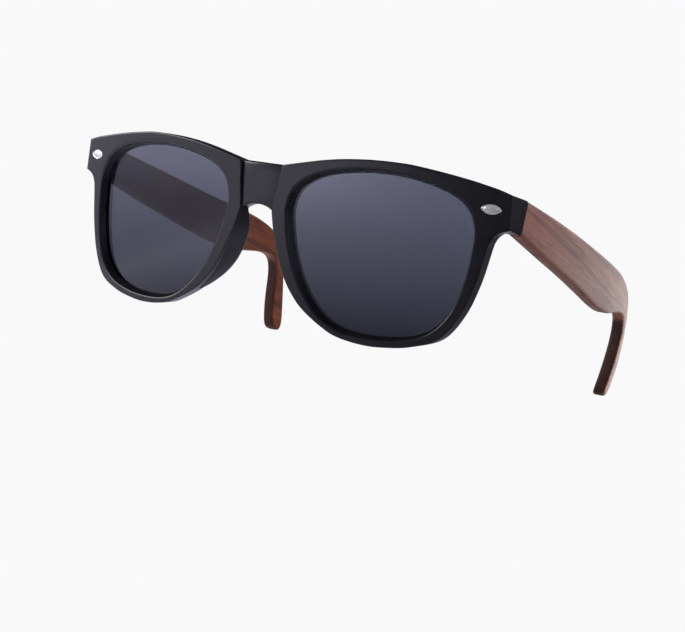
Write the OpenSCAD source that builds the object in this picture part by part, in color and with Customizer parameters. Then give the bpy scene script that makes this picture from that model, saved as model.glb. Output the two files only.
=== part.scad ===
// Sunglasses: black plastic front, tinted lenses, walnut temples on sprung hinges.
// Frame: +X to the wearer's left, +Y to the back, +Z up, standing on the rims and the temple tips.
// Sizes are in millimetres.

/* [Front] */

// width of one lens opening
lens_w = 54.1; // [48:0.1:60]
// height of one lens opening
lens_h = 46.9; // [40:0.1:52]
// distance between the two lens openings
bridge_w = 20; // [17:0.1:24]
// width of an end piece beyond its lens opening
end_w = 8.4; // [7.5:0.1:10]
// height of an end piece where it meets the temple
end_h = 9.9; // [9.5:0.1:12]
// how far an end piece runs back from the front's corner
end_depth = 8; // [7:0.1:10]
// how far an end piece flares out on the way back
end_flare = 1.5; // [0.5:0.1:3]
// how far an end piece rises on the way back
end_rise = 0.6; // [0.2:0.1:1.2]
// radius of the front's curve, seen from above
front_r = 212; // [180:1:320]
// lean of the front: its lower edge is nearer the face
front_tilt = 11.5; // [6:0.1:14]
// depth of the rims from front to back
rim_t = 5; // [4.5:0.1:6]
// radius of the bridge's rounded face
bridge_r = 26; // [16:0.5:40]
// how far the bridge's face starts behind the front
bridge_back = 0.2; // [0.1:0.1:1]
// how far the lens opening narrows from the front face to the lens
bevel = 0.9; // [0.3:0.1:1.5]
// how far a nose pad stands behind the rim
pad_rise = 3; // [1.5:0.1:5]
// angle by which a nose pad turns in towards the nose
pad_turn = 17; // [8:1:20]
// width of a nose pad's edge
pad_w = 3.2; // [2.4:0.1:4]

/* [Lens] */

// thickness of a lens
lens_t = 1.2; // [1:0.1:2]
// depth of a lens behind the front face
lens_in = 2.6; // [2:0.1:3]
// how far a lens edge goes into its groove
groove = 0.7; // [0.4:0.1:1]

/* [Temple] */

// length of a temple's board, from the joint to its rearmost edge
temple_len = 118; // [105:1:125]
// height of a temple's board in front of the ear
temple_h = 17.2; // [14:0.1:19]
// thickness of a temple's board
temple_t = 4.4; // [4:0.1:4.8]
// how far a tip ends below the board's upper edge
tip_drop = 42.4; // [38:0.1:46]
// outward angle of a temple at the joint
splay = 5.2; // [3:0.1:8]
// radius of the board's bow, seen from above
bow_r = 647; // [500:1:1200]
// radius of the tip's inward curve, seen from the front
tip_r = 140; // [110:1:300]

/* [Hinge] */

// distance of the hinge axis from the board's outer face
axis_in = 6.6; // [6.3:0.1:7]
// distance of the hinge axis behind the joint
axis_back = 1; // [0.8:0.1:1.5]
// forward lean of the hinge axis: the folded temples cross at a slant
axis_tilt = 6; // [4:0.5:8]
// gap between an end piece and its temple
joint_gap = 0.25; // [0.2:0.05:0.5]
// outer radius of a hinge knuckle
knuckle_r = 1.7; // [1.5:0.1:1.9]
// height of the middle knuckle
mid_h = 2.8; // [2.4:0.1:3.2]
// height of the whole hinge barrel
barrel_h = 7.6; // [7:0.1:8]
// radius of the hinge screw
screw_r = 0.7; // [0.6:0.05:0.8]
// radius of a spring's shaft
shaft_r = 0.75; // [0.65:0.05:0.8]
// thickness of a hinge leaf's plate
plate_t = 1.3; // [1:0.1:1.5]
// length of a hinge housing
house_l = 12.7; // [12:0.1:14]
// height of a hinge housing
house_h = 5.2; // [4.8:0.1:5.6]
// length of the housing's screw tab
tab_l = 9; // [8:0.5:10]
// radius of a spring's wire
wire_r = 0.16; // [0.12:0.01:0.2]
// turns of a spring
turns = 6; // [5:1:6]

/* [Rivet] */

// length of a rivet's almond-shaped head
head_l = 5.7; // [5:0.1:7]
// height of a rivet's almond-shaped head
head_w = 2.8; // [2.2:0.1:3.2]
// radius of the head's two tips
head_r = 0.35; // [0.25:0.05:0.5]
// radius of a rivet's shank
rivet_r = 0.75; // [0.6:0.05:0.9]

/* [Fits] */

// radial clearance of a turning or sliding fit
run_fit = 0.03; // [0.02:0.01:0.06]
// end play of the middle knuckle, each side
end_play = 0.05; // [0.05:0.01:0.1]
// clearance of a piece that is set into another
seat_fit = 0.03; // [0.02:0.01:0.06]
// room round a moving piece
room = 0.35; // [0.3:0.05:0.5]

/* [Hidden] */

$fn = 48;

// colours
black = [0.05, 0.05, 0.055];
smoke = [0.16, 0.17, 0.2];
silver = [0.78, 0.78, 0.8];
steel = [0.6, 0.6, 0.62];
walnut = [0.36, 0.22, 0.15];

// an extra length for cuts
eps = 1;

// places on the front, from the lens opening: u runs from the nose outward, w from its foot up
function fx(u) = bridge_w / 2 + u * lens_w;
function fv(w) = -0.0576 * lens_h - (1 - w) * lens_h;
function fp(u, w) = [fx(u), fv(w)];
// places on an end piece: e runs from the lens opening outward
function ep(e, w) = [fx(1) + e * end_w, fv(w)];
// depth of the front's curve at x
function sag(x) = front_r - sqrt(front_r * front_r - x * x);
// a place on the leaning front, seen from the side: depth y and height v
function lean_y(y, v) = y * cos(front_tilt) - v * sin(front_tilt);
function lean_z(y, v) = y * sin(front_tilt) + v * cos(front_tilt);

// smooth curves through a few points
function span(a, b, c, d, t) = 0.5 * (2 * b + (c - a) * t + (2 * a - 5 * b + 4 * c - d) * t * t
  + (3 * b - a - 3 * c + d) * t * t * t);
function pick(p, i) = p[max(0, min(len(p) - 1, i))];
function curve(p, n) = [for (i = [0 : len(p) - 2]) for (j = [0 : n - 1])
  span(pick(p, i - 1), pick(p, i), pick(p, i + 1), pick(p, i + 2), j / n)];
function loop(p, n) = [for (i = [0 : len(p) - 1]) for (j = [0 : n - 1])
  span(p[(i + len(p) - 1) % len(p)], p[i], p[(i + 1) % len(p)], p[(i + 2) % len(p)], j / n)];

// the lens opening's outline as shares of its width and height
shape = [[0.49, 1], [0.665, 0.987], [0.832, 0.94], [0.941, 0.864], [0.993, 0.746], [0.998, 0.588],
  [0.976, 0.386], [0.921, 0.196], [0.821, 0.0725], [0.671, 0.015], [0.5, 0], [0.351, 0.0235],
  [0.233, 0.102], [0.124, 0.249], [0.0453, 0.441], [0.0037, 0.631], [0.001, 0.738], [0.0407, 0.846],
  [0.152, 0.933], [0.314, 0.982]];
// the opening's outline, about its own centre, grown by g all round
function opening(g) = loop([for (q = shape)
  [(q[0] - 0.5) * (lens_w + 2 * g), (q[1] - 0.5) * (lens_h + 2 * g)]], 5);
open_x = fx(0.5);
open_v = fv(0.5);

// the brow, from the bridge to the corner
brow = [fp(-0.055, 0.957), fp(0.046, 0.984), fp(0.161, 1.014), fp(0.27, 1.036), fp(0.379, 1.05),
  fp(0.481, 1.057), fp(0.591, 1.0576), fp(0.695, 1.047), fp(0.795, 1.033), fp(0.893, 1.016),
  ep(-0.06, 0.997), ep(0.524, 0.978), ep(1, 0.955)];
// from the end piece's foot down the side, round the bottom and up the nose to the bridge
skirt = [ep(1.05, 0.75), ep(0.774, 0.732), ep(0.595, 0.706), ep(0.47, 0.663), ep(0.387, 0.58),
  fp(1.044, 0.465), fp(1.024, 0.365), fp(0.996, 0.258), fp(0.954, 0.154), fp(0.909, 0.079),
  fp(0.86, 0.036), fp(0.795, 0.006), fp(0.717, -0.02), fp(0.63, -0.035), fp(0.551, -0.0426),
  fp(0.466, -0.038), fp(0.388, -0.0245), fp(0.331, -0.006), fp(0.275, 0.0256), fp(0.214, 0.066),
  fp(0.152, 0.115), fp(0.109, 0.162), fp(0.0555, 0.237), fp(0.011, 0.326), fp(-0.028, 0.435),
  fp(-0.063, 0.546), fp(-0.089, 0.667)];
// up the step beside the bridge
step = [fp(-0.089, 0.667), fp(-0.085, 0.716), fp(-0.076, 0.78), fp(-0.068, 0.844), fp(-0.063, 0.908),
  fp(-0.055, 0.957)];
// the rim's foot, on which the front stands
foot = fp(0.551, -0.0426);
// the bridge's underside, from its corner to the middle
arch = [fp(-0.089, 0.667), fp(-0.12, 0.687), fp(-0.155, 0.698), [0, fv(0.7)]];

// the front's corner, and the joint's outer upper corner behind it
corner = ep(1, 0.955);
corner_y = lean_y(sag(corner[0]), corner[1]);
corner_z = lean_z(sag(corner[0]), corner[1]);
joint_x = corner[0] + end_flare;
joint_y = corner_y + end_depth;

// the hinge axis
axis_x = joint_x - axis_in * cos(splay) + axis_back * sin(splay);
axis_y = joint_y + axis_in * sin(splay) + axis_back * cos(splay);
axis_z = corner_z + end_rise - end_h / 2;

// the rivet, on the front face
rivet_x = fx(1) + 0.405 * end_w;
rivet_v = fv(0.859);
rivet_a = asin(rivet_x / front_r);

// the shaft's offset, the board's inner face, and the housing's place, from the hinge axis
shaft_x = 0.8;
face_x = axis_in - temple_t;
house_y = 2.3;
house_in = shaft_x - 2;
house_out = face_x + 1.2;
wall_t = 2.3;
bore_r = 1.4;
coil_r = 1.05;
stop_r = 1.25;
stop_t = 1.6;
spring_y = house_y + wall_t;
spring_l = 7;
stop_y = spring_y + spring_l;
shaft_end = stop_y + stop_t + 0.2;
tab_y = house_y + house_l;
tab_t = 0.8;
tab_h = 4.6;
tab_r = 0.6;
tab_screws = [tab_y + 0.28 * tab_l, tab_y + 0.72 * tab_l];
screw_len = 2.4;

// the temple's outline from the side: y from the joint, z from the upper edge
function tp(y, b) = [y / 118 * temple_len, b];
function low(k) = -end_h - k * (temple_h - end_h);
function leg(k) = -temple_h - k * (tip_drop - temple_h);
board_top = [tp(0, 0), tp(30, -0.2), tp(60, -0.8), tp(84, -1.2), tp(95, -1.6), tp(102, -2.25), tp(108, -3.3),
  tp(113, -4.8), tp(117.2, -7.1), tp(120.4, -10.6), tp(122.8, -15.2), tp(124.5, leg(0.14)), tp(125.8, leg(0.36)),
  tp(126.7, leg(0.6)), tp(127, leg(0.79)), tp(126.4, leg(0.92)), tp(125.1, leg(0.983)), tp(123.6, leg(1))];
board_low = [tp(123.6, leg(1)), tp(122, leg(0.985)), tp(120.9, leg(0.94)), tp(120.3, leg(0.86)),
  tp(119.9, leg(0.68)), tp(119.6, leg(0.45)), tp(119.3, leg(0.22)), tp(118.3, leg(0.05)), tp(116, low(0.74)),
  tp(111.8, low(0.56)), tp(105.5, low(0.605)), tp(98.5, low(0.76)), tp(92, low(0.92)), tp(87, low(0.985)),
  tp(82, low(1)), tp(73, low(0.96)), tp(60, low(0.81)), tp(40, low(0.56)), tp(20, low(0.31)), tp(0, low(0))];
// the tip's lowest and rearmost places
tip_low = 123.6 / 118 * temple_len;
tip_back = 126.3 / 118 * temple_len;
// height below which the tip curves inward
bend_z = -16;

// the standing pose: the whole object leans until rims and tips share the ground
foot_y = lean_y(sag(foot[0]), foot[1]);
foot_z = lean_z(sag(foot[0]), foot[1]);
tip_y = joint_y + tip_low;
tip_z = corner_z + end_rise - tip_drop;
stand_a = atan2(tip_z - foot_z, tip_y - foot_y);
back_y = joint_y + tip_back;
front_y = lean_y(sag(7), fv(0.957));
mid_y = (front_y + back_y) / 2 * cos(stand_a) + corner_z * 0.5 * sin(stand_a);
ground_z = -foot_y * sin(stand_a) + foot_z * cos(stand_a);

// spring points: one ring of points after another along the coil
ring_n = turns * 8;
ring_s = 6;
coil_l = spring_l - 2 * wire_r - 0.1;
coil_y = spring_y + wire_r + 0.05;
lead = atan2(coil_l, 2 * PI * coil_r * turns);
function coil_c(i) = [coil_r * cos(45 * i), coil_l * i / ring_n, coil_r * sin(45 * i)];
function coil_p(i, j) = coil_c(i) + wire_r * cos(60 * j) * [cos(45 * i), 0, sin(45 * i)]
  + wire_r * sin(60 * j) * [sin(45 * i) * sin(lead), cos(lead), -cos(45 * i) * sin(lead)];
coil_pts = [for (i = [0 : ring_n]) for (j = [0 : ring_s - 1]) coil_p(i, j)];
coil_faces = concat([[for (j = [0 : ring_s - 1]) j]],
  [for (i = [0 : ring_n - 1]) for (j = [0 : ring_s - 1])
    [i * ring_s + j, (i + 1) * ring_s + j, (i + 1) * ring_s + (j + 1) % ring_s]],
  [for (i = [0 : ring_n - 1]) for (j = [0 : ring_s - 1])
    [i * ring_s + j, (i + 1) * ring_s + (j + 1) % ring_s, i * ring_s + (j + 1) % ring_s]],
  [[for (j = [ring_s - 1 : -1 : 0]) ring_n * ring_s + j]]);
// least gap between neighbouring turns, from their points
coil_gap = min([for (i = [0 : ring_n - 8]) min([for (j = [0 : ring_s - 1]) for (k = [0 : ring_s - 1])
  norm(coil_p(i, j) - coil_p(i + 8, k))])]);
echo(coil_gap = coil_gap);
echo(stand_a = stand_a, mid_y = mid_y, ground_z = ground_z);
echo(hinge_axis = [axis_x, axis_y, axis_z]);

// places the whole object on the ground
module stand() translate([0, -mid_y, -ground_z]) rotate([-stand_a, 0, 0]) children();
// places a piece on the leaning front
module lean() rotate([front_tilt, 0, 0]) children();
// places a piece on the front face at the left rivet, with +Y into the frame
module at_rivet() lean() translate([rivet_x, sag(rivet_x), rivet_v]) rotate([0, 0, rivet_a]) children();
// places a piece on the left hinge axis
module at_axis() translate([axis_x, axis_y, axis_z]) rotate([axis_tilt, 0, 0]) children();
// places a piece at the left hinge, turned to the temple
module at_temple() translate([axis_x, axis_y, axis_z]) rotate([0, 0, -splay]) children();
// a solid from a front view, between two depths
module deep(y0, y1) translate([0, y1, 0]) rotate([90, 0, 0]) linear_extrude(y1 - y0) children();
// the inside of the front's curve, at a depth behind its face
module behind(d) translate([0, front_r, -2 * lens_h]) cylinder(r = front_r - d, h = 4 * lens_h, $fn = 360);
// a left piece, mirrored to the right
module right() mirror([1, 0, 0]) children();
module both() { children(); mirror([1, 0, 0]) children(); }
// the rivet head's outline: two long arcs that meet in rounded tips
function arc(c, r, from, to, n) = [for (i = [0 : n]) let (a = from + (to - from) * i / n) c + r * [cos(a), sin(a)]];
module almond(l, w, r) {
  p = l / 2 - r;
  big = (p * p + w * w / 4 - r * r) / (w - 2 * r);
  a = atan2(big - w / 2, p);
  tip = [for (q = arc([p, 0], r, -a, a, 8)) q];
  top = [for (q = arc([0, w / 2 - big], big, a, 180 - a, 16)) q];
  half = concat([for (i = [0 : 7]) tip[i]], [for (i = [0 : 15]) top[i]]);
  polygon(concat(half, -half));
}

// the left rim's outline with its end piece
module rim_2d() polygon(concat(curve(brow, 4), [corner], curve(skirt, 4), curve(step, 3), [brow[0]]));
// the bridge's outline
arch_pts = curve(arch, 4);
module bridge_2d() polygon(concat([fp(-0.03, 0.957), fp(-0.03, 0.64)], arch_pts, [arch[3]],
  [for (i = [len(arch_pts) - 1 : -1 : 0]) [-arch_pts[i][0], arch_pts[i][1]]],
  [[-fx(-0.03), fv(0.64)], [-fx(-0.03), fv(0.957)]]));
// the left nose pad's outline: a band along the rim's edge
pad_edge = [fp(-0.089, 0.667), fp(-0.063, 0.546), fp(-0.028, 0.435), fp(0.011, 0.326), fp(0.0555, 0.237),
  fp(0.109, 0.162), fp(0.152, 0.115)];
pad_n = len(pad_edge) - 1;
module pad_2d() polygon(concat(curve(pad_edge, 4), [pad_edge[pad_n]],
  [for (i = [pad_n : -1 : 0]) pad_edge[i] + [pad_w, 0.5 * i]]));
// the front's corner, seen from above, from the hinge axis
wrap_x = axis_in - end_flare * cos(splay) + end_depth * sin(splay);
wrap_y = -axis_back - end_depth * cos(splay) - end_flare * sin(splay);
// the left end piece's wrap, seen from above, from the hinge axis
module wrap_2d() polygon([[face_x + 0.1, -axis_back], [axis_in, -axis_back],
  [wrap_x, wrap_y], [wrap_x, wrap_y - 4], [face_x + 0.1, wrap_y - 4]]);

module rim() lean() intersection() {
  deep(-eps, sag(corner[0] + end_w) + rim_t + 2) rim_2d();
  difference() {
    behind(0);
    behind(rim_t);
  }
}
module bridge() lean() intersection() {
  deep(-eps, rim_t + 0.1) bridge_2d();
  translate([0, bridge_back + bridge_r, fv(0)]) cylinder(r = bridge_r, h = 2 * lens_h, $fn = 96);
}
// a pad stands on the rim's nose edge, turned in; its crest is an arc
pad_in = 1;
pad_r = 24;
module pad() lean() intersection() {
  translate([fx(0), pad_in, 0]) rotate([0, 0, pad_turn]) translate([-fx(0), 0, 0])
    deep(0, rim_t + pad_rise + 2) pad_2d();
  behind(0.6);
  translate([0, rim_t + pad_rise - pad_r, fv(0.37)]) rotate([0, 90, 0]) cylinder(r = pad_r, h = fx(1), $fn = 96);
}
module wrap() intersection() {
  at_temple() translate([0, 0, -end_h / 2]) linear_extrude(end_h) wrap_2d();
  lean() behind(0);
}
// the lens opening with its slanted wall, and the groove
mouth_a = opening(bevel / lens_in);
mouth_b = opening(-bevel);
mouth_n = len(mouth_b);
mouth_pts = concat([for (q = mouth_a) [open_x + q[0], -20, open_v + q[1]]],
  [for (q = mouth_a) [open_x + q[0], sag(open_x + q[0]) - 1, open_v + q[1]]],
  [for (q = mouth_b) [open_x + q[0], sag(open_x + q[0]) + lens_in, open_v + q[1]]],
  [for (q = mouth_b) [open_x + q[0], 40, open_v + q[1]]]);
mouth_faces = concat([[for (j = [0 : mouth_n - 1]) j]],
  [for (i = [0 : 2]) for (j = [0 : mouth_n - 1]) [i * mouth_n + j, (i + 1) * mouth_n + j,
    (i + 1) * mouth_n + (j + 1) % mouth_n, i * mouth_n + (j + 1) % mouth_n]],
  [[for (j = [mouth_n - 1 : -1 : 0]) 3 * mouth_n + j]]);
module lens_cut() lean() {
  polyhedron(points = mouth_pts, faces = mouth_faces, convexity = 4);
  lens_body(seat_fit);
}
module lens_body(c) intersection() {
  translate([open_x, 0, open_v]) deep(-eps, sag(fx(1)) + rim_t + 8) polygon(opening(groove - bevel + c));
  difference() {
    behind(lens_in - c);
    behind(lens_in + lens_t + c);
  }
}
// room for the left hinge: rivet, leaf and barrel
module hinge_cut() {
  at_rivet() {
    deep(-eps, 0.3) almond(head_l + 2 * seat_fit, head_w + 2 * seat_fit, head_r + seat_fit);
    deep(-eps, rim_t + 4) circle(rivet_r + seat_fit);
    translate([-5.1, rim_t - 0.2, -3.8]) cube([8.6, 8, 7.6]);
  }
  leaf_arm(room);
  at_axis() translate([0, 0, -end_h]) cylinder(r = knuckle_r + room, h = 2 * end_h);
}
// the leaf's arm from its plate to the barrel, grown by c
module leaf_arm(c) intersection() {
  at_axis() translate([0, 0, -barrel_h / 2 - c]) linear_extrude(barrel_h + 2 * c)
    polygon([[-1.4 - c, c], [1.2 + c, c - 0.6], [1.2 + c, -6 - c], [-1.6 - c, -6 - c]]);
  at_rivet() translate([-6, rim_t - 0.2 + (c > 0 ? 0 : seat_fit), -6]) cube([14, 14, 12]);
}

// trims the brow's upper side behind the corner, so that it runs evenly into the end piece
brow_end = [for (q = concat(curve(brow, 4), [corner])) if (q[0] > fx(0.8)) q];
trim_k = rim_t * sin(front_tilt) * 1.6 / (corner[0] - brow_end[0][0]);
rise_a = atan(end_rise / end_depth);
module brow_trim() translate([0, corner_y, corner_z - 0.06]) rotate([rise_a, 0, 0])
  deep(-end_depth, end_depth + rim_t) polygon(concat(
    [for (q = brow_end) [q[0], lean_z(sag(q[0]), q[1]) - corner_z + trim_k * (corner[0] - q[0])]],
    [[corner[0] + end_w, 0], [corner[0] + end_w, end_h], [brow_end[0][0], end_h]]));

module front_frame() color(black) stand() difference() {
  union() {
    both() rim();
    both() pad();
    both() wrap();
    bridge();
  }
  both() brow_trim();
  both() lens_cut();
  both() hinge_cut();
}

module lens() color(smoke) lean() lens_body(0);

module rivet() color(silver) at_rivet() {
  deep(-0.25, 0.3) almond(head_l, head_w, head_r);
  deep(-0.45, 0) almond(head_l - 1.6, head_w - 1, head_r * 0.6);
  deep(0, rim_t - 0.2 + plate_t) circle(rivet_r);
}

module hinge_leaf() color(steel) difference() {
  union() {
    at_rivet() translate([-5, rim_t - 0.2 + seat_fit, -3.6]) cube([8.4, plate_t - seat_fit, 7.2]);
    leaf_arm(0);
    at_axis() translate([0, 0, -barrel_h / 2]) cylinder(r = knuckle_r, h = barrel_h);
  }
  at_axis() {
    translate([0, 0, -barrel_h]) cylinder(r = screw_r + run_fit, h = 2 * barrel_h);
    translate([0, 0, barrel_h / 2 - 0.7]) cylinder(r = screw_r + 0.5 + run_fit, h = 2);
    translate([0, 0, -mid_h / 2 - end_play]) cylinder(r = knuckle_r + room, h = mid_h + 2 * end_play);
  }
  at_rivet() deep(-eps, rim_t + 4) circle(rivet_r + seat_fit);
}

module hinge_screw() color(silver) at_axis() difference() {
  union() {
    translate([0, 0, -barrel_h / 2]) cylinder(r = screw_r, h = barrel_h);
    translate([0, 0, barrel_h / 2 - 0.65]) cylinder(r = screw_r + 0.5, h = 0.75);
  }
  translate([-2, -0.15, barrel_h / 2 - 0.2]) cube([4, 0.3, 1]);
}

module hinge_carriage() color(steel) difference() {
  union() {
    at_axis() translate([0, 0, -mid_h / 2]) cylinder(r = knuckle_r, h = mid_h);
    at_temple() translate([shaft_x - 0.8, 0, -1]) cube([1.6, house_y - 0.25, 2]);
    at_temple() translate([shaft_x, 1, 0]) rotate([-90, 0, 0]) cylinder(r = shaft_r, h = shaft_end - 1);
  }
  at_axis() translate([0, 0, -mid_h]) cylinder(r = screw_r + run_fit, h = 2 * mid_h);
}

module hinge_spring() color(silver) at_temple() translate([shaft_x, coil_y, 0])
  polyhedron(points = coil_pts, faces = coil_faces, convexity = 6);

module spring_stop() color(steel) at_temple() translate([shaft_x, stop_y, 0]) rotate([-90, 0, 0]) difference() {
  cylinder(r = stop_r, h = stop_t);
  translate([0, 0, -eps]) cylinder(r = shaft_r + 0.01, h = stop_t + 2 * eps);
}

module hinge_housing() color(silver) at_temple() difference() {
  union() {
    translate([house_in, house_y, -house_h / 2]) cube([house_out - house_in, house_l, house_h]);
    translate([face_x - tab_t - 0.5, tab_y - eps, -tab_h / 2]) cube([tab_t, tab_l + eps, tab_h]);
  }
  translate([shaft_x, 0, 0]) rotate([-90, 0, 0]) cylinder(r = shaft_r + run_fit, h = tab_y);
  translate([shaft_x, spring_y, 0]) rotate([-90, 0, 0]) cylinder(r = bore_r, h = house_l);
  for (y = tab_screws) translate([0, y, 0]) rotate([0, 90, 0]) cylinder(r = tab_r + seat_fit, h = 6);
}

module housing_screws() color(silver) at_temple() for (y = tab_screws) translate([face_x - tab_t - 0.5, y, 0])
  rotate([0, 90, 0]) difference() {
    union() {
      translate([0, 0, -0.5]) cylinder(r = 1, h = 0.5 - seat_fit);
      translate([0, 0, -0.3]) cylinder(r = tab_r, h = screw_len + 0.3);
    }
    translate([-0.12, -2, -1]) cube([0.24, 4, 0.75]);
  }

// the board's curved slab: straight up, then inward below the bend
module slab() translate([axis_in - bow_r, 0, end_h / 2]) rotate_extrude(angle = 30, $fn = 360) {
  translate([bow_r - temple_t, bend_z]) square([temple_t, 40]);
  intersection() {
    translate([bow_r - tip_r, bend_z]) difference() {
      circle(tip_r, $fn = 180);
      circle(tip_r - temple_t, $fn = 180);
    }
    translate([bow_r - tip_r, bend_z - tip_drop]) square([tip_r + 10, tip_drop]);
  }
}

module temple() color(walnut) at_temple() difference() {
  intersection() {
    translate([-60, -axis_back, end_h / 2]) rotate([90, 0, 90]) linear_extrude(120)
      polygon(concat(curve(board_top, 4), curve(board_low, 4), [board_low[len(board_low) - 1]]));
    translate([0, joint_gap - axis_back, 0]) slab();
  }
  translate([-eps, -axis_back - eps, -house_h / 2 - seat_fit])
    cube([house_out + seat_fit + eps, tab_y + axis_back + eps + seat_fit, house_h + 2 * seat_fit]);
  for (y = tab_screws) translate([0, y, 0]) rotate([0, 90, 0]) cylinder(r = tab_r + 0.01, h = face_x + screw_len - 0.7);
}

front_frame();
stand() lens();  // lens_left
stand() right() lens();  // lens_right
stand() rivet();  // rivet_left
stand() right() rivet();  // rivet_right
stand() hinge_leaf();  // hinge_leaf_left
stand() right() hinge_leaf();  // hinge_leaf_right
stand() hinge_screw();  // hinge_screw_left
stand() right() hinge_screw();  // hinge_screw_right
stand() hinge_carriage();  // hinge_carriage_left
stand() right() hinge_carriage();  // hinge_carriage_right
stand() hinge_spring();  // hinge_spring_left
stand() right() hinge_spring();  // hinge_spring_right
stand() spring_stop();  // spring_stop_left
stand() right() spring_stop();  // spring_stop_right
stand() hinge_housing();  // hinge_housing_left
stand() right() hinge_housing();  // hinge_housing_right
stand() housing_screws();  // housing_screws_left
stand() right() housing_screws();  // housing_screws_right
stand() temple();  // temple_left
stand() right() temple();  // temple_right
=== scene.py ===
"""Sunglasses: a black plastic front, tinted lenses and walnut temples on sprung hinges.

Lengths are in millimetres until a point is placed; Blender's own frame is in metres.
"""

import logging
import math
from dataclasses import dataclass
from enum import Enum

import bmesh
import bpy
from mathutils import Matrix, Vector


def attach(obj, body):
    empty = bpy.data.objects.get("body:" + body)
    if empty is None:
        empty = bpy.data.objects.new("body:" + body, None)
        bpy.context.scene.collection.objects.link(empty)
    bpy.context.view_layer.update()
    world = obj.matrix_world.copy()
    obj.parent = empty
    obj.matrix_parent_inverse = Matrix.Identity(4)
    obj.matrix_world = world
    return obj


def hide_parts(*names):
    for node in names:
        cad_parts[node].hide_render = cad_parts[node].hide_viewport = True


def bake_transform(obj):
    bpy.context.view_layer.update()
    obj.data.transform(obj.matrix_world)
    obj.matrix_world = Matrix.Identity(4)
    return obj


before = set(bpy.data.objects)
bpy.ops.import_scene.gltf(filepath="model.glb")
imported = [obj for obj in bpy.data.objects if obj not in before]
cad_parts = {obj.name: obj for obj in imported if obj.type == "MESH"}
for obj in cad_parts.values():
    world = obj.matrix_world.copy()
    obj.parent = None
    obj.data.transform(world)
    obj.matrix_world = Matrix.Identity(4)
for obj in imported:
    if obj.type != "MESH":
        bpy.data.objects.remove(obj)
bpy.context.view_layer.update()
LOG = logging.getLogger("sunglasses")
MM = 0.001

Pair = tuple[float, float]
Triple = tuple[float, float, float]
Ring = list[Vector]
Colour = tuple[float, float, float, float]
Tones = tuple[Colour, ...]
Piece = bpy.types.Object
Material = bpy.types.Material
Node = bpy.types.Node
Socket = bpy.types.NodeSocket
Feed = Node | Socket | tuple | float

UNIT: Pair = (0.0, 1.0)


class Side(Enum):
    """The wearer's two sides; the value is the sign of X."""

    LEFT = 1
    RIGHT = -1

    @property
    def word(self) -> str:
        """The side's name in piece and body names."""
        return self.name.lower()


class Grain(Enum):
    """How a metal surface was worked; the value draws its noise out along X, Y and Z."""

    POLISHED = (700, 700, 700)
    BRUSHED = (5000, 260, 5000)
    TURNED = (900, 900, 9000)


def shade(red: int, green: int, blue: int) -> Colour:
    """A colour from its screen values.

    Args:
        red: Red, 0 to 255.
        green: Green, 0 to 255.
        blue: Blue, 0 to 255.

    Returns:
        The linear colour with full alpha.
    """
    def linear(value: int) -> float:
        """One channel in linear light."""
        part = value / 255
        return part / 12.92 if part <= 0.04045 else ((part + 0.055) / 1.055) ** 2.4

    return (linear(red), linear(green), linear(blue), 1.0)


def put(at: Matrix, x: float, y: float, z: float) -> Vector:
    """A point in millimetres, carried by a matrix and turned into metres."""
    return at @ Vector((x, y, z)) * MM


def between(p: Pair, q: Pair, share: float) -> Pair:
    """The place at a share of the way from one place to another."""
    return (p[0] + (q[0] - p[0]) * share, p[1] + (q[1] - p[1]) * share)


def circle(steps: int, offset: float = 0.0) -> list[float]:
    """Angles of even steps round a circle, from a share of a step onward."""
    return [math.tau * (i + offset) / steps for i in range(steps)]


def arc(centre: Pair, radius: float, first: float, last: float, steps: int) -> list[Pair]:
    """Places on a round edge.

    Args:
        centre: Its centre.
        radius: Its radius.
        first: Angle of the first place, in degrees.
        last: Angle of the last place, in degrees.
        steps: Steps between the two.

    Returns:
        The places in order.
    """
    turns = (math.radians(first + (last - first) * i / steps) for i in range(steps + 1))
    return [(centre[0] + radius * math.cos(a), centre[1] + radius * math.sin(a)) for a in turns]


def span(a: Pair, b: Pair, c: Pair, d: Pair, t: float) -> Pair:
    """A place on the smooth curve between the middle two of four points.

    Args:
        a: The point before.
        b: The start.
        c: The end.
        d: The point after.
        t: Share of the way, 0 to 1.

    Returns:
        The place.
    """
    return tuple(
        0.5 * (2 * q + (r - p) * t + (2 * p - 5 * q + 4 * r - s) * t * t + (3 * q - p - 3 * r + s) * t ** 3)
        for p, q, r, s in zip(a, b, c, d))


def curve_at(points: list[Pair], place: float) -> Pair:
    """A place on the open curve through points.

    Args:
        points: The points.
        place: Index along them, with its fraction.

    Returns:
        The place.
    """
    last = len(points) - 1
    i = min(int(place), last - 1)
    near = [points[max(0, min(last, i + k))] for k in (-1, 0, 1, 2)]
    return span(*near, place - i)


def open_curve(points: list[Pair], steps: int) -> list[Pair]:
    """The open curve through points, with as many places from each to the next."""
    return [curve_at(points, i / steps) for i in range(steps * (len(points) - 1) + 1)]


def closed_curve(points: list[Pair], steps: int) -> list[Pair]:
    """The closed curve through points.

    Args:
        points: The points.
        steps: Places to each of them.

    Returns:
        The places in order.
    """
    n = len(points)
    return [span(points[i - 1], points[i], points[(i + 1) % n], points[(i + 2) % n], j / steps)
            for i in range(n) for j in range(steps)]


def evenly(points: list[Pair], gap: float, fine_steps: int = 16) -> list[Pair]:
    """Places about a gap apart on the open curve through points, without its last one.

    Args:
        points: The points.
        gap: Wanted distance between places.
        fine_steps: Places to each point at which the curve is measured.

    Returns:
        The places in order.
    """
    fine = open_curve(points, fine_steps)
    run = [0.0]
    for p, q in zip(fine, fine[1:]):
        run.append(run[-1] + math.dist(p, q))
    count = max(2, round(run[-1] / gap))
    out: list[Pair] = []
    k = 0
    for i in range(count):
        want = run[-1] * i / count
        while run[k + 1] < want:
            k += 1
        out.append(between(fine[k], fine[k + 1], (want - run[k]) / max(1e-9, run[k + 1] - run[k])))
    return out


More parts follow.
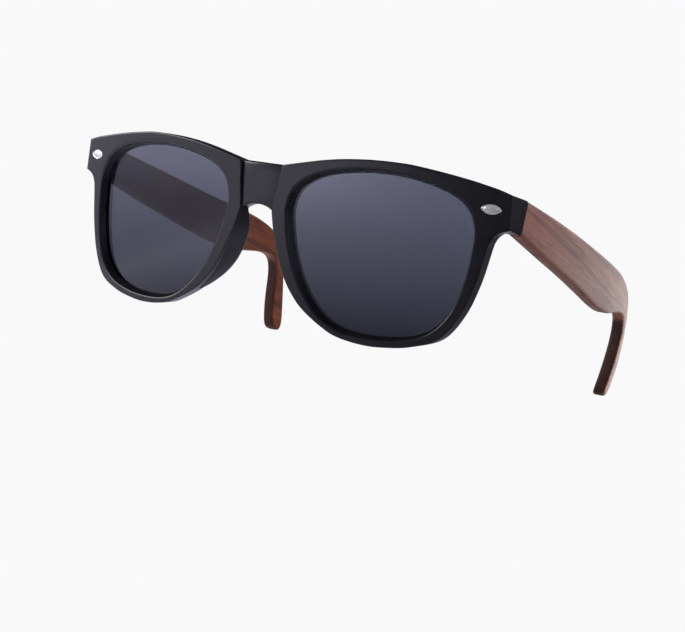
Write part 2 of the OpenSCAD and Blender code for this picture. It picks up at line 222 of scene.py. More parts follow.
def clear() -> None:
    """Leaves edit mode and selects nothing."""
    if bpy.context.object and bpy.context.object.mode != "OBJECT":
        bpy.ops.object.mode_set(mode="OBJECT")
    bpy.ops.object.select_all(action="DESELECT")


def pick(piece: Piece) -> None:
    """Selects one piece and makes it active.

    Args:
        piece: The piece.
    """
    clear()
    piece.select_set(True)
    bpy.context.view_layer.objects.active = piece


def edit(piece: Piece) -> None:
    """Opens one piece in edit mode, all of its points selected.

    Args:
        piece: The piece.
    """
    pick(piece)
    bpy.ops.object.mode_set(mode="EDIT")
    bpy.ops.mesh.select_mode(type="VERT")
    bpy.ops.mesh.select_all(action="SELECT")


def named(name: str) -> Piece:
    """Names the active object and its mesh.

    Args:
        name: The name.

    Returns:
        The object.
    """
    piece = bpy.context.object
    piece.name = piece.data.name = name
    return piece


def loft(name: str, rings: list[Ring], closed: bool = False) -> Piece:
    """A skin over rings: a circle, extruded from ring to ring, then merged or filled at its ends.

    Args:
        name: The piece's name.
        rings: Rings of as many places each, in metres.
        closed: True where the last ring runs back into the first.

    Returns:
        The piece, its normals outward.
    """
    count = len(rings[0])
    clear()
    bpy.ops.mesh.primitive_circle_add(vertices=count, radius=0.01, fill_type="NOTHING")
    piece = named(name)
    edit(piece)
    body = bmesh.from_edit_mesh(piece.data)
    body.verts.ensure_lookup_table()
    order = {i: i for i in range(count)}
    for i in range(count):
        body.verts[i].co = rings[0][i]
    for ring in rings[1:] + ([rings[0]] if closed else []):
        bpy.ops.mesh.extrude_edges_move()
        body = bmesh.from_edit_mesh(piece.data)
        body.verts.index_update()
        after: dict[int, int] = {}
        for vert in body.verts:
            if vert.select:
                back = [e.other_vert(vert) for e in vert.link_edges]
                place = next(order[o.index] for o in back if not o.select and o.index in order)
                vert.co = ring[place]
                after[vert.index] = place
        order = after
    bmesh.update_edit_mesh(piece.data)
    bpy.ops.mesh.select_all(action="SELECT")
    bpy.ops.mesh.remove_doubles(threshold=0.0002 * MM)
    if not closed:
        bpy.ops.mesh.fill_holes(sides=0)
        bpy.ops.mesh.select_all(action="SELECT")
    bpy.ops.mesh.normals_make_consistent(inside=False)
    clear()
    return piece


def block(name: str, corners: list[Vector]) -> Piece:
    """A cube whose eight corners are moved to given places.

    Args:
        name: The piece's name.
        corners: Places in metres, X slowest and Z fastest, low before high.

    Returns:
        The block.
    """
    clear()
    bpy.ops.mesh.primitive_cube_add(size=2)
    piece = named(name)
    for vert in piece.data.vertices:
        x, y, z = (1 if c > 0 else 0 for c in vert.co)
        vert.co = corners[4 * x + 2 * y + z]
    edit(piece)
    bpy.ops.mesh.normals_make_consistent(inside=False)
    clear()
    return piece


def box(name: str, at: Matrix, xs: Pair, ys: Pair, zs: Pair) -> Piece:
    """A block between limits on three axes, in millimetres, carried by a matrix."""
    return block(name, [put(at, x, y, z) for x in xs for y in ys for z in zs])


def mirrored(piece: Piece, name: str) -> Piece:
    """A copy of a piece on the other side, with its own mesh.

    Args:
        piece: The piece.
        name: The copy's name.

    Returns:
        The copy.
    """
    pick(piece)
    bpy.ops.object.duplicate(linked=False)
    copy = named(name)
    edit(copy)
    bpy.ops.transform.resize(value=(-1, 1, 1), center_override=(0, 0, 0))
    bpy.ops.mesh.normals_make_consistent(inside=False)
    clear()
    return copy


def both(left: Piece) -> list[tuple[Piece, Side]]:
    """A left piece and its mirror image, each with its side."""
    right = mirrored(left, left.name.replace(Side.LEFT.word, Side.RIGHT.word))
    return [(left, Side.LEFT), (right, Side.RIGHT)]


def combine(piece: Piece, tool: Piece, operation: str) -> None:
    """Adds a tool to a piece, or cuts it out, and throws the tool away.

    Args:
        piece: The piece.
        tool: The other solid.
        operation: UNION or DIFFERENCE.
    """
    pick(piece)
    step = piece.modifiers.new("combine", "BOOLEAN")
    step.operation = operation
    step.solver = "EXACT"
    step.object = tool
    bpy.ops.object.modifier_apply(modifier=step.name)
    bpy.data.objects.remove(tool)


def close(piece: Piece) -> None:
    """Joins points that fell together and closes what stayed open after the cuts.

    Args:
        piece: The piece.
    """
    edit(piece)
    bpy.ops.mesh.remove_doubles(threshold=0.003 * MM)
    bpy.ops.mesh.fill_holes(sides=8)
    bpy.ops.mesh.dissolve_degenerate(threshold=0.001 * MM)
    clear()


def dress(piece: Piece, material: Material, crease: float | None = None) -> None:
    """Gives a piece its material, and smooth shading where it has a crease angle.

    Args:
        piece: The piece.
        material: Its only material.
        crease: Degrees beyond which an edge stays sharp, or None to leave the shading.
    """
    if crease is not None:
        pick(piece)
        bpy.ops.object.shade_smooth_by_angle(angle=math.radians(crease))
    piece.data.materials.clear()
    piece.data.materials.append(material)


class Nodes:
    """The node tree of a material or a world, filled one node at a time."""

    def __init__(self, owner: bpy.types.ID) -> None:
        """Empties the tree.

        Args:
            owner: The new material or world.
        """
        self.owner = owner
        owner.use_nodes = True
        self.tree = owner.node_tree
        self.tree.nodes.clear()

    @classmethod
    def material(cls, name: str) -> "Nodes":
        """The empty tree of a new material."""
        return cls(bpy.data.materials.new(name))

    def feed(self, socket: Socket, value: Feed) -> None:
        """Links a socket, or sets it.

        Args:
            socket: The socket.
            value: An output, a node whose first output is meant, or a plain value.
        """
        if isinstance(value, Node):
            value = value.outputs[0]
        if isinstance(value, Socket):
            self.tree.links.new(value, socket)
        else:
            socket.default_value = value

    def add(self, kind: str, *first: Feed, **values: Feed | str) -> Node:
        """A new node.

        Args:
            kind: The node's type without its common prefix.
            first: What goes into its first sockets, in order.
            values: The node's own settings, or sockets by name with spaces as underscores.

        Returns:
            The node.
        """
        node = self.tree.nodes.new("ShaderNode" + kind)
        for socket, value in zip(node.inputs, first):
            self.feed(socket, value)
        for key, value in values.items():
            if hasattr(node, key):
                setattr(node, key, value)
            else:
                self.feed(node.inputs[key.replace("_", " ")], value)
        return node

    def ramp(self, source: Feed, places: tuple[float, ...], colours: Tones) -> Node:
        """A colour ramp.

        Args:
            source: What drives it.
            places: Where its stops are, 0 to 1.
            colours: The stops' colours.

        Returns:
            The ramp.
        """
        node = self.add("ValToRGB", source)
        band = node.color_ramp.elements
        while len(band) < len(places):
            band.new(0.5)
        for stop, place, colour in zip(band, places, colours):
            stop.position = place
            stop.color = colour
        return node

    def remap(self, source: Feed, start: Pair, end: Pair = UNIT) -> Node:
        """Carries a value from one range to another, held at both ends."""
        (low, high), (bottom, top) = start, end
        return self.add("MapRange", source, From_Min=low, From_Max=high, To_Min=bottom, To_Max=top)

    def blend(self, one: Feed, two: Feed, share: Feed, kind: str = "MIX") -> Socket:
        """Mixes two colours.

        Args:
            one: The first colour.
            two: The second colour.
            share: The second one's share.
            kind: The blend's type.

        Returns:
            The mixed colour.
        """
        node = self.add("Mix", share, data_type="RGBA", blend_type=kind)
        self.feed(node.inputs[6], one)
        self.feed(node.inputs[7], two)
        return node.outputs[2]

    def finish(self, shader: Node, kind: str = "OutputMaterial") -> bpy.types.ID:
        """Ends the tree with its output and returns its owner."""
        self.add(kind, shader)
        return self.owner


@dataclass(frozen=True)
class BlackPlastic:
    """Satin-gloss moulded plastic, duller where it looks up."""

    name: str = "front_black_plastic"
    tones: Tones = (shade(14, 13, 18), shade(21, 20, 26))
    rough: Pair = (0.22, 0.34)
    upward: Pair = (0.2, 0.6)
    rough_up: float = 0.85
    gloss: Pair = (0.55, 0.02)
    grain: float = 0.012

    def material(self) -> Material:
        """The finish as a Blender material.

        Returns:
            The material.
        """
        n = Nodes.material(self.name)
        place = n.add("TexCoord").outputs
        cloud = n.add("TexNoise", place["Object"], Scale=160.0, Detail=4.0, Roughness=0.6)
        grit = n.add("TexNoise", place["Object"], Scale=5200.0, Detail=2.0, Roughness=0.5)
        up = n.add("SeparateXYZ", place["Normal"]).outputs["Z"]
        dull = n.remap(up, self.upward, (0.0, self.rough_up))
        coarse = n.add("Math", n.remap(cloud, UNIT, self.rough), dull, operation="MAXIMUM")
        return n.finish(n.add(
            "BsdfPrincipled", IOR=1.49, Roughness=coarse, Base_Color=n.ramp(cloud, (0.3, 0.75), self.tones),
            Specular_IOR_Level=n.remap(up, self.upward, self.gloss),
            Normal=n.add("Bump", Strength=self.grain, Distance=0.0001, Height=grit)))


@dataclass(frozen=True)
class TintedLens:
    """Smoke-grey lens, a little paler towards its upper edge; its deeper tone towards the lower edge is
    painted shade.
    """

    name: str = "lens_smoke"
    # deep lower tone, a painted shade, to the pale upper tone
    tones: Tones = (shade(24, 26, 36), shade(92, 95, 114))
    painted_shade_rise: Pair = (0.002, 0.05)

    def material(self) -> Material:
        """The finish as a Blender material.

        Returns:
            The material.
        """
        n = Nodes.material(self.name)
        height = n.add("SeparateXYZ", n.add("TexCoord").outputs["Object"]).outputs["Z"]
        # the tint deepens towards the lower edge: painted shade
        tint = n.ramp(n.remap(height, self.painted_shade_rise), UNIT, self.tones)
        return n.finish(n.add(
            "BsdfPrincipled", IOR=1.5, Roughness=0.0, Transmission_Weight=1.0, Base_Color=tint))


@dataclass(frozen=True)
class Metal:
    """Steel, polished, brushed along the temple or turned."""

    name: str
    grain: Grain
    tones: Tones
    rough: Pair
    metal: float = 1.0

    def material(self) -> Material:
        """The finish as a Blender material.

        Returns:
            The material.
        """
        n = Nodes.material(self.name)
        drawn = n.add("Mapping", n.add("TexCoord").outputs["Object"], Scale=self.grain.value)
        lines = n.add("TexNoise", drawn, Scale=1.0, Detail=3.0, Roughness=0.6)
        depth = 0.04 if self.grain is Grain.POLISHED else 0.12
        return n.finish(n.add(
            "BsdfPrincipled", Metallic=self.metal, Base_Color=n.ramp(lines, (0.25, 0.8), self.tones),
            Roughness=n.remap(lines, UNIT, self.rough),
            Normal=n.add("Bump", Strength=depth, Distance=0.00005, Height=lines)))


@dataclass(frozen=True)
class Walnut:
    """Waxed walnut board: streaks along the grain, pores, paler to the ear, partly from the waxed sheen and
    partly from a sheen painted into its colour, redder inside, painted shade on its upper and lower edges,
    dark end grain.

    Tones run from dark to pale.
    """

    name: str
    side: Side
    turn: float = 5.2
    lean: float = -7.0
    front: Tones = (shade(72, 38, 32), shade(107, 63, 53), shade(135, 84, 72))
    # the ear tones are paler than the front ones: a sheen painted into the colour, on top of the shader's
    # waxed sheen
    ear: Tones = (shade(100, 67, 58), shade(146, 107, 94), shade(178, 136, 120))
    inner: Tones = (shade(62, 28, 14), shade(86, 38, 17), shade(106, 50, 25))
    # darker tones on faces turned up or down: painted shade on the board's upper and lower edges
    edge: Tones = (shade(74, 43, 31), shade(112, 70, 50))
    end: Tones = (shade(40, 23, 19), shade(56, 33, 27))
    pore: Tones = ((1, 1, 1, 1), (0.62, 0.58, 0.56, 1))
    three_stops: Triple = (0.36, 0.5, 0.64)
    two_stops: Pair = (0.3, 0.7)
    ear_sheen_run: Pair = (-0.045, 0.06)
    inward: Pair = (0.3, 0.75)
    level: Pair = (0.3, 0.85)
    endward: Pair = (0.45, 0.8)
    rough: Pair = (0.34, 0.56)
    wax: Pair = (1.0, 0.1)

    def material(self) -> Material:
        """The finish as a Blender material.

        Returns:
            The material.
        """
        n = Nodes.material(self.name)
        place = n.add("TexCoord").outputs
        way = self.side.value
        board = n.add("Mapping", place["Object"],
                      Rotation=(-math.radians(self.lean), 0, math.radians(self.turn) * way))

        def drawn(stretch: Triple, detail: float, rough: float, bend: float) -> Node:
            """A noise drawn out along the board."""
            return n.add("TexNoise", n.add("Mapping", board, Scale=stretch), Scale=1.0, Detail=detail,
                         Roughness=rough, Distortion=bend)

        # broad figure, fine streaks and short pores
        figure = drawn((60, 7, 210), 4.0, 0.5, 0.3)
        streak = drawn((300, 14, 1000), 5.0, 0.62, 0.15)
        pores = n.ramp(drawn((1500, 150, 2600), 2.0, 0.5, 0.0), (0.56, 0.68), self.pore)
        grain = n.add("Mix", 0.6, data_type="FLOAT")
        n.feed(grain.inputs[2], figure)
        n.feed(grain.inputs[3], streak)
        front, ear, inner = (n.ramp(grain, self.three_stops, t) for t in (self.front, self.ear, self.inner))
        edge, end = (n.ramp(streak, self.two_stops, t) for t in (self.edge, self.end))

        # where the place is along the board, and which way the surface faces on the piece itself
        # share of the way back towards the ear, where the paler ear tones, a painted sheen, take over from
        # the front tones
        back = n.remap(n.add("SeparateXYZ", place["Object"]).outputs["Y"], self.ear_sheen_run)
        facing = n.add("SeparateXYZ", place["Normal"]).outputs
        inward = n.remap(facing["X"], (self.inward[0] * -way, self.inward[1] * -way))
        level = n.add("Math", facing["Z"], operation="ABSOLUTE")
        endward = n.remap(n.add("Math", facing["Y"], operation="ABSOLUTE"), self.endward)
        wood = n.blend(n.blend(front, ear, back), inner, inward)
        # faces turned up or down take the darker edge tones: painted shade on the board's upper and lower
        # edges
        wood = n.blend(wood, edge, n.remap(level, self.level, (0.0, 0.95)))
        wood = n.blend(wood, end, endward)
        return n.finish(n.add(
            "BsdfPrincipled", IOR=1.24, Base_Color=n.blend(wood, pores, 1.0, "MULTIPLY"),
            Roughness=n.remap(streak, UNIT, self.rough),
            Sheen_Roughness=0.3, Sheen_Weight=n.remap(level, self.level, self.wax),
            Normal=n.add("Bump", Strength=0.22, Distance=0.00012, Height=pores)))


@dataclass(frozen=True)
class Layout:
    """The sizes that the pieces share, and the places they are set out from."""

    lens_w: float = 54.1
    lens_h: float = 46.9
    bridge_w: float = 20.0
    brow_h: float = 0.0576
    end_w: float = 8.4
    end_h: float = 9.9
    end_depth: float = 8.0
    end_flare: float = 1.5
    end_rise: float = 0.6
    front_r: float = 212.0
    front_tilt: float = 11.5
    rim_t: float = 5.0
    lens_in: float = 2.6
    lens_t: float = 1.2
    splay: float = 5.2
    temple_t: float = 4.4
    axis_in: float = 6.6
    axis_back: float = 1.0
    axis_tilt: float = 6.0
    rivet_at: Pair = (0.405, 0.859)
    stand_a: float = 2.5526
    mid_y: float = 74.2973
    ground_z: float = -50.3850

    def fx(self, u: float) -> float:
        """X at a share of the lens opening's width, from the nose outward."""
        return self.bridge_w / 2 + u * self.lens_w

    def fv(self, w: float) -> float:
        """Height on the front at a share of the lens opening's height."""
        return -self.brow_h * self.lens_h - (1 - w) * self.lens_h

    def fp(self, u: float, w: float) -> Pair:
        """A place on the front by its two shares."""
        return (self.fx(u), self.fv(w))

    def ep(self, e: float, w: float) -> Pair:
        """A place on an end piece, from the lens opening outward."""
        return (self.fx(1) + e * self.end_w, self.fv(w))

    def sag(self, x: float, depth: float = 0.0) -> float:
        """Depth of the front's curve at x, and a depth behind it."""
        return self.front_r - math.sqrt((self.front_r - depth) ** 2 - x * x)

    @property
    def stand(self) -> Matrix:
        """From the worn pose to the standing one."""
        return Matrix.Translation((0, -self.mid_y, -self.ground_z)) @ Matrix.Rotation(
            -math.radians(self.stand_a), 4, "X")

    @property
    def lean(self) -> Matrix:
        """From the upright front to the leaning one."""
        return Matrix.Rotation(math.radians(self.front_tilt), 4, "X")

    @property
    def at_front(self) -> Matrix:
        """From the upright front to the standing object."""
        return self.stand @ self.lean

    @property
    def corner(self) -> Vector:
        """The front's upper outer corner, in the worn pose."""
        x, v = self.ep(1, 0.955)
        return self.lean @ Vector((x, self.sag(x), v))

    @property
    def axis(self) -> Vector:
        """The middle of the left hinge axis, in the worn pose.

        Returns:
            The point.
        """
        turn = math.radians(self.splay)
        x = self.corner.x + self.end_flare - self.axis_in * math.cos(turn) + self.axis_back * math.sin(turn)
        y = self.corner.y + self.end_depth + self.axis_in * math.sin(turn) + self.axis_back * math.cos(turn)
        return Vector((x, y, self.corner.z + self.end_rise - self.end_h / 2))

    @property
    def at_hinge(self) -> Matrix:
        """The left hinge's place, not turned."""
        return self.stand @ Matrix.Translation(self.axis)

    @property
    def at_temple(self) -> Matrix:
        """The left hinge's place, turned to the temple."""
        return self.at_hinge @ Matrix.Rotation(-math.radians(self.splay), 4, "Z")

    @property
    def at_axis(self) -> Matrix:
        """The left hinge's place, leaned to its pin."""
        return self.at_hinge @ Matrix.Rotation(math.radians(self.axis_tilt), 4, "X")

    @property
    def at_rivet(self) -> Matrix:
        """The left rivet's place on the front face, +Y into the frame.

        Returns:
            The matrix.
        """
        x, v = self.ep(*self.rivet_at)
        flat = Matrix.Translation((x, self.sag(x), v))
        return self.at_front @ flat @ Matrix.Rotation(math.asin(x / self.front_r), 4, "Z")

    def on_front(self, x: float, v: float, depth: float) -> Vector:
        """A point at a depth behind the curved, leaning front face, in metres."""
        return put(self.at_front, x, self.sag(x, depth), v)

    def opening(self, grow: float, steps: int) -> list[Pair]:
        """The lens opening's outline about its own centre.

        Args:
            grow: How far it is grown all round.
            steps: Places to each of its points.

        Returns:
            The places in order.
        """
        shape = ((0.49, 1), (0.665, 0.987), (0.832, 0.94), (0.941, 0.864), (0.993, 0.746), (0.998, 0.588),
                 (0.976, 0.386), (0.921, 0.196), (0.821, 0.0725), (0.671, 0.015), (0.5, 0), (0.351, 0.0235),
                 (0.233, 0.102), (0.124, 0.249), (0.0453, 0.441), (0.0037, 0.631), (0.001, 0.738),
                 (0.0407, 0.846), (0.152, 0.933), (0.314, 0.982))
        wide, high = self.lens_w + 2 * grow, self.lens_h + 2 * grow
        return closed_curve([((u - 0.5) * wide, (w - 0.5) * high) for u, w in shape], steps)


@dataclass
class Front:
    """The black front: two rims with end pieces, bridge and nose pads, moulded in one."""

    layout: Layout
    finish: BlackPlastic
    edge: float = 0.4
    back_edge: float = 0.5
    bevel: float = 0.9
    groove: float = 0.7
    seat: float = 0.03
    bridge_r: float = 26.0
    bridge_back: float = 0.2
    bridge_edge: float = 0.8
    bridge_rear_edge: float = 0.5
    bridge_past: float = 0.1
    pad_rise: float = 3.0
    pad_w: float = 3.2
    pad_turn: float = 17.0
    pad_in: float = 1.0
    pad_r: float = 24.0
    pad_edge: float = 1.1
    pad_ease: float = 0.3
    pad_foot: float = 0.75
    pad_least: float = 1.6
    wrap_start: float = 0.15
    wrap_edge: float = 0.6
    wrap_in: float = 0.1
    brow_fall: float = 1.6
    trim_sink: float = 0.06
    leaf_sink: float = 0.2
    leaf_back: float = 7.8
    leaf_x: Pair = (-5.1, 3.5)
    leaf_z: Pair = (-3.8, 3.8)
    arm_x: Pair = (-1.95, 1.55)
    arm_y: Pair = (-6.35, 0.0)
    arm_z: Pair = (-4.15, 4.15)
    past_end: Pair = (-9, 9)
    barrel_r: float = 2.05
    gap: float = 1.1
    crease: float = 32

    @property
    def brow(self) -> list[Pair]:
        """The outline's upper edge, from the bridge to the outer corner.

        Returns:
            Its points in order.
        """
        fp, ep = self.layout.fp, self.layout.ep
        return [fp(-0.055, 0.957), fp(0.046, 0.984), fp(0.161, 1.014), fp(0.27, 1.036), fp(0.379, 1.05),
                fp(0.481, 1.057), fp(0.591, 1.0576), fp(0.695, 1.047), fp(0.795, 1.033), fp(0.893, 1.016),
                ep(-0.06, 0.997), ep(0.524, 0.978), ep(1, 0.955)]

    @property
    def skirt(self) -> list[Pair]:
        """The outline from under the end piece, round below the lens and up the nose.

        Returns:
            Its points in order.
        """
        fp, ep = self.layout.fp, self.layout.ep
        return [ep(1.05, 0.75), ep(0.774, 0.732), ep(0.595, 0.706), ep(0.47, 0.663), ep(0.387, 0.58),
                fp(1.044, 0.465), fp(1.024, 0.365), fp(0.996, 0.258), fp(0.954, 0.154), fp(0.909, 0.079),
                fp(0.86, 0.036), fp(0.795, 0.006), fp(0.717, -0.02), fp(0.63, -0.035), fp(0.551, -0.0426),
                fp(0.466, -0.038), fp(0.388, -0.0245), fp(0.331, -0.006), fp(0.275, 0.0256), fp(0.214, 0.066),
                fp(0.152, 0.115), fp(0.109, 0.162), fp(0.0555, 0.237), fp(0.011, 0.326), fp(-0.028, 0.435),
                fp(-0.063, 0.546), fp(-0.089, 0.667)]

    def outline(self) -> tuple[list[Pair], list[int]]:
        """The left rim's outline with its end piece.

        Returns:
            Its places in order, and which of them are corners.
        """
        fp, brow, skirt = self.layout.fp, self.brow, self.skirt
        step = [skirt[-1], fp(-0.085, 0.716), fp(-0.076, 0.78), fp(-0.068, 0.844), fp(-0.063, 0.908), brow[0]]
        places: list[Pair] = []
        starts: list[int] = []
        for run in (brow, [brow[-1], skirt[0]], skirt, step):
            starts.append(len(places))
            places += evenly(run, self.gap)
        # the skirt runs smoothly into the last of these
        return places, starts[:-1]

    @staticmethod
    def inset(places: list[Pair], corners: list[int], depth: float) -> list[Pair]:
        """The outline moved inward; near a corner its places gather on the mitre.

        Args:
            places: The outline, clockwise seen from the front.
            corners: Which places are corners.
            depth: How far inward.

        Returns:
            As many places as before.
        """
        count = len(places)
        moved: list[Pair] = []
        bite: dict[int, float] = {}
        for i, (x, v) in enumerate(places):
            (ax, av), (bx, bv) = places[i - 1], places[(i + 1) % count]
            one = Vector((x - ax, v - av)).normalized()
            two = Vector((bx - x, bv - v)).normalized()
            middle = (Vector((one.y, -one.x)) + Vector((two.y, -two.x))).normalized()
            share = max(0.5, middle.dot(Vector((one.y, -one.x))))
            moved.append((x + middle.x * depth / share, v + middle.y * depth / share))
            if i in corners:
                bite[i] = depth * math.sqrt(max(0.0, 1 - share * share)) / share
        for i, reach in bite.items():
            for way in (1, -1):
                k, run = i, 0.0
                while True:
                    after = (k + way) % count
                    run += math.dist(places[k], places[after])
                    if run > reach * 1.02:
                        break
                    moved[after] = moved[i]
                    k = after
        return moved

    def inside(self, places: list[Pair], grow: float) -> list[Pair]:
        """The lens opening's edge, one place to each place of the outline, seen from its centre.

        Args:
            places: The outline.
            grow: How far the opening is grown.

        Returns:
            Places on the opening.
        """
        least_turn = 0.0006
        cx, cv = self.layout.fp(0.5, 0.5)
        wall = self.layout.opening(grow, 16)
        angles = [math.atan2(v, x) for x, v in wall]
        out: list[Pair] = []
        last: float | None = None

        def turned(start: float, end: float) -> float:
            """The turn from one angle back to another, within half a circle."""
            return (start - end + math.pi) % math.tau - math.pi

        for x, v in places:
            want = math.atan2(v - cv, x - cx)
            if last is not None:
                while want > last + math.pi:
                    want -= math.tau
                while want < last - math.pi:
                    want += math.tau
                want = min(want, last - least_turn)
            last = want
            for i, one in enumerate(angles):
                after = (i + 1) % len(angles)
                step, part = turned(one, angles[after]), turned(one, want)
                if 0 <= part < step:
                    dx, dv = between(wall[i], wall[after], part / step)
                    out.append((cx + dx, cv + dv))
                    break
        return out

    def rim(self) -> Piece:
        """The left rim with its end piece: rings from the lens groove round the section and back.

        Returns:
            The rim.
        """
        lay = self.layout
        places, corners = self.outline()
        r, b, t, bevel = self.edge, self.back_edge, lay.rim_t, self.bevel
        slope = bevel / lay.lens_in
        cut = self.groove - bevel + self.seat
        before, behind = lay.lens_in - self.seat, lay.lens_in + lay.lens_t + self.seat

        def ring(pairs: list[Pair], depth: float) -> Ring:
            """A ring of places at one depth."""
            return [lay.on_front(x, v, depth) for x, v in pairs]

        def walls(*steps: Pair) -> list[Ring]:
            """Rings on the opening, each by its growth and depth."""
            return [ring(self.inside(places, grow), depth) for grow, depth in steps]

        def sides(*steps: Pair) -> list[Ring]:
            """Rings on the outline, each by its inset and depth."""
            return [ring(self.inset(places, corners, inward), depth) for inward, depth in steps]

        rings = walls((cut, before), (-bevel, before), (slope * 0.25 - bevel, lay.lens_in - 0.25),
                      (-slope * 0.75, 0.75), (-slope * 0.45, 0.45), (0.03, 0.2), (0.22, 0.05), (0.5, 0.0),
                      (0.7, 0.0))
        near, far = self.inside(places, 0.95), self.inset(places, corners, r + 0.35)
        rings += [ring([between(p, q, s) for p, q in zip(near, far)], 0) for s in (0.0, 0.33, 0.67, 1.0)]
        rings += sides(*arc((r, r), r, 270, 180, 4))
        rings += [ring(places, r + 0.4), ring(places, t - b - 0.3)]
        rings += sides(*arc((b, t - b), b, 180, 90, 3), (b + 0.3, t))
        rings += walls((0.6 - bevel, t), (0.3 - bevel, t), (0.09 - bevel, t - 0.09), (-bevel, t - 0.3),
                       (-bevel, behind), (cut, behind))
        return loft("rim_part", rings, closed=True)

    def bridge(self) -> Piece:
        """The bridge: sections across it, with a rounded face and softened edges.

        Returns:
            The bridge.
        """
        lay = self.layout
        half = [(-lay.fx(u), lay.fv(w)) for u, w in (
            (-0.155, 0.698), (-0.12, 0.687), (-0.089, 0.667), (-0.03, 0.64))]
        arch = sorted(half + [(0.0, lay.fv(0.7))] + [(-x, v) for x, v in half])
        top, back = lay.fv(0.957), lay.rim_t + self.bridge_past
        r, e = self.bridge_edge, self.bridge_rear_edge
        rings: list[Ring] = []
        for x, low in open_curve(arch, 6):
            face = self.bridge_back + self.bridge_r - math.sqrt(self.bridge_r ** 2 - x * x)
            section = arc((face + r, top - r), r, 90, 180, 4)
            section += [(face, top + (low - top) * s) for s in (0.25, 0.5, 0.75)]
            section += arc((face + r, low + r), r, 180, 270, 4)
            section += arc((back - e, low + e), e, 270, 360, 2) + arc((back - e, top - e), e, 0, 90, 2)
            rings.append([put(lay.at_front, x, y, v) for y, v in section])
        return loft("bridge_part", rings)

    def pad(self) -> Piece:
        """The left nose pad: a rounded fin along the rim's nose edge, turned in towards the nose.

        Returns:
            The pad.
        """
        lay, nose_points = self.layout, 7
        edge = self.skirt[-nose_points:][::-1]
        turn, r, wide, ease = math.radians(self.pad_turn), self.pad_edge, self.pad_w, self.pad_ease
        cos, sin = math.cos(turn), math.sin(turn)
        rings: list[Ring] = []
        for x, v in open_curve(edge, 8):
            reach = self.pad_r ** 2 - (v - lay.fv(0.37)) ** 2
            crest = lay.rim_t + self.pad_rise - self.pad_r + math.sqrt(max(0.0, reach))
            out = x - lay.fx(0)
            foot = max(0.0, (self.pad_foot - self.pad_in - out * sin) / cos)
            top = max(foot + self.pad_least, (crest - self.pad_in - out * sin) / cos)
            section = [(0.25, foot), (0.05, foot + ease), (0.05, top - r)]
            section += arc((0.05 + r, top - r), r, 150, 90, 2) + arc((wide - r, top - r), r, 90, 0, 3)
            section += [(wide, foot + ease), (wide - ease, foot)]
            rings.append([put(lay.at_front, lay.fx(0) + (out + dx) * cos - d * sin,
                              self.pad_in + (out + dx) * sin + d * cos, v) for dx, d in section])
        return loft("pad_part", rings)

    def wrap(self) -> Piece:
        """The left end piece's wrap, running back to the joint, its outer edges rounded.

        Returns:
            The wrap.
        """
        lay = self.layout
        turn = math.radians(lay.splay)
        front_x = lay.axis_in - lay.end_flare * math.cos(turn) + lay.end_depth * math.sin(turn)
        front_y = -lay.axis_back - lay.end_depth * math.cos(turn) - lay.end_flare * math.sin(turn)
        inner = lay.axis_in - lay.temple_t + self.wrap_in
        run = Vector((lay.axis_in - front_x, -lay.axis_back - front_y)).normalized()
        slope = math.tan(math.radians(lay.front_tilt)) * lay.end_h
        half = lay.end_h / 2
        corners: list[Vector] = []
        for outer in (0, 1):
            for rear in (0, 1):
                for high in (0, 1):
                    if rear:
                        x, y = (lay.axis_in if outer else inner), -lay.axis_back
                    else:
                        along = self.wrap_start + (0 if high else slope)
                        x = front_x + run.x * along if outer else inner
                        y = front_y + run.y * along
                    corners.append(put(lay.at_temple, x, y, half if high else -half))
        piece = block("wrap_part", corners)
        edit(piece)
        bpy.ops.mesh.select_mode(type="EDGE")
        bpy.ops.mesh.select_all(action="DESELECT")
        body = bmesh.from_edit_mesh(piece.data)
        outer_run = ({4, 6}, {5, 7}, {4, 5})
        for edge in body.edges:
            ends = {min(range(8), key=lambda k: (corners[k] - vert.co).length) for vert in edge.verts}
            edge.select = ends in outer_run
        bmesh.update_edit_mesh(piece.data)
        bpy.ops.mesh.bevel(offset=self.wrap_edge * MM, segments=4, profile=0.5)
        clear()
        return piece

    def brow_trim(self) -> Piece:
        """What is cut off above the brow's end, so that it runs evenly into the end piece.

        Returns:
            The solid to cut with.
        """
        lay, brow = self.layout, self.brow[-6:]
        line = [curve_at(brow, 1 + i / 4) for i in range(17)]
        end = line[-1][0]
        fall = math.sin(math.radians(lay.front_tilt)) * lay.rim_t * self.brow_fall / (end - line[0][0])
        low: list[Pair] = []
        for x, v in line:
            z = (lay.lean @ Vector((x, lay.sag(x), v))).z - lay.corner.z
            low.append((x, z + fall * (end - x)))
        low.append((end + lay.end_w, 0.0))
        high = [(x, lay.end_h) for x, _ in reversed(low)]
        start = Matrix.Translation((0, lay.corner.y, lay.corner.z - self.trim_sink))
        at = lay.stand @ start @ Matrix.Rotation(math.atan(lay.end_rise / lay.end_depth), 4, "X")
        return loft("brow_trim", [[put(at, x, y, z) for x, z in low + high]
                                  for y in (-lay.end_depth, lay.end_depth + lay.rim_t)])

    def hinge_room(self) -> list[Piece]:
        """What is cut from the left end piece for the hinge.

        Returns:
            The leaf's seat, its arm's room behind the front, and the barrel's round.
        """
        lay = self.layout
        rear, wide, r = lay.rim_t - self.leaf_sink, self.past_end, self.barrel_r
        arm = box("arm_room", lay.at_axis, self.arm_x, self.arm_y, self.arm_z)
        combine(arm, box("front_side", lay.at_rivet, wide, (wide[0], rear), wide), "DIFFERENCE")
        seat = box("leaf_seat", lay.at_rivet, self.leaf_x, (rear, lay.rim_t + self.leaf_back), self.leaf_z)
        barrel = loft("barrel_room", [
            [put(lay.at_axis, r * math.cos(a), r * math.sin(a), z) for a in circle(48)]
            for z in (-lay.end_h, lay.end_h)])
        return [seat, arm, barrel]

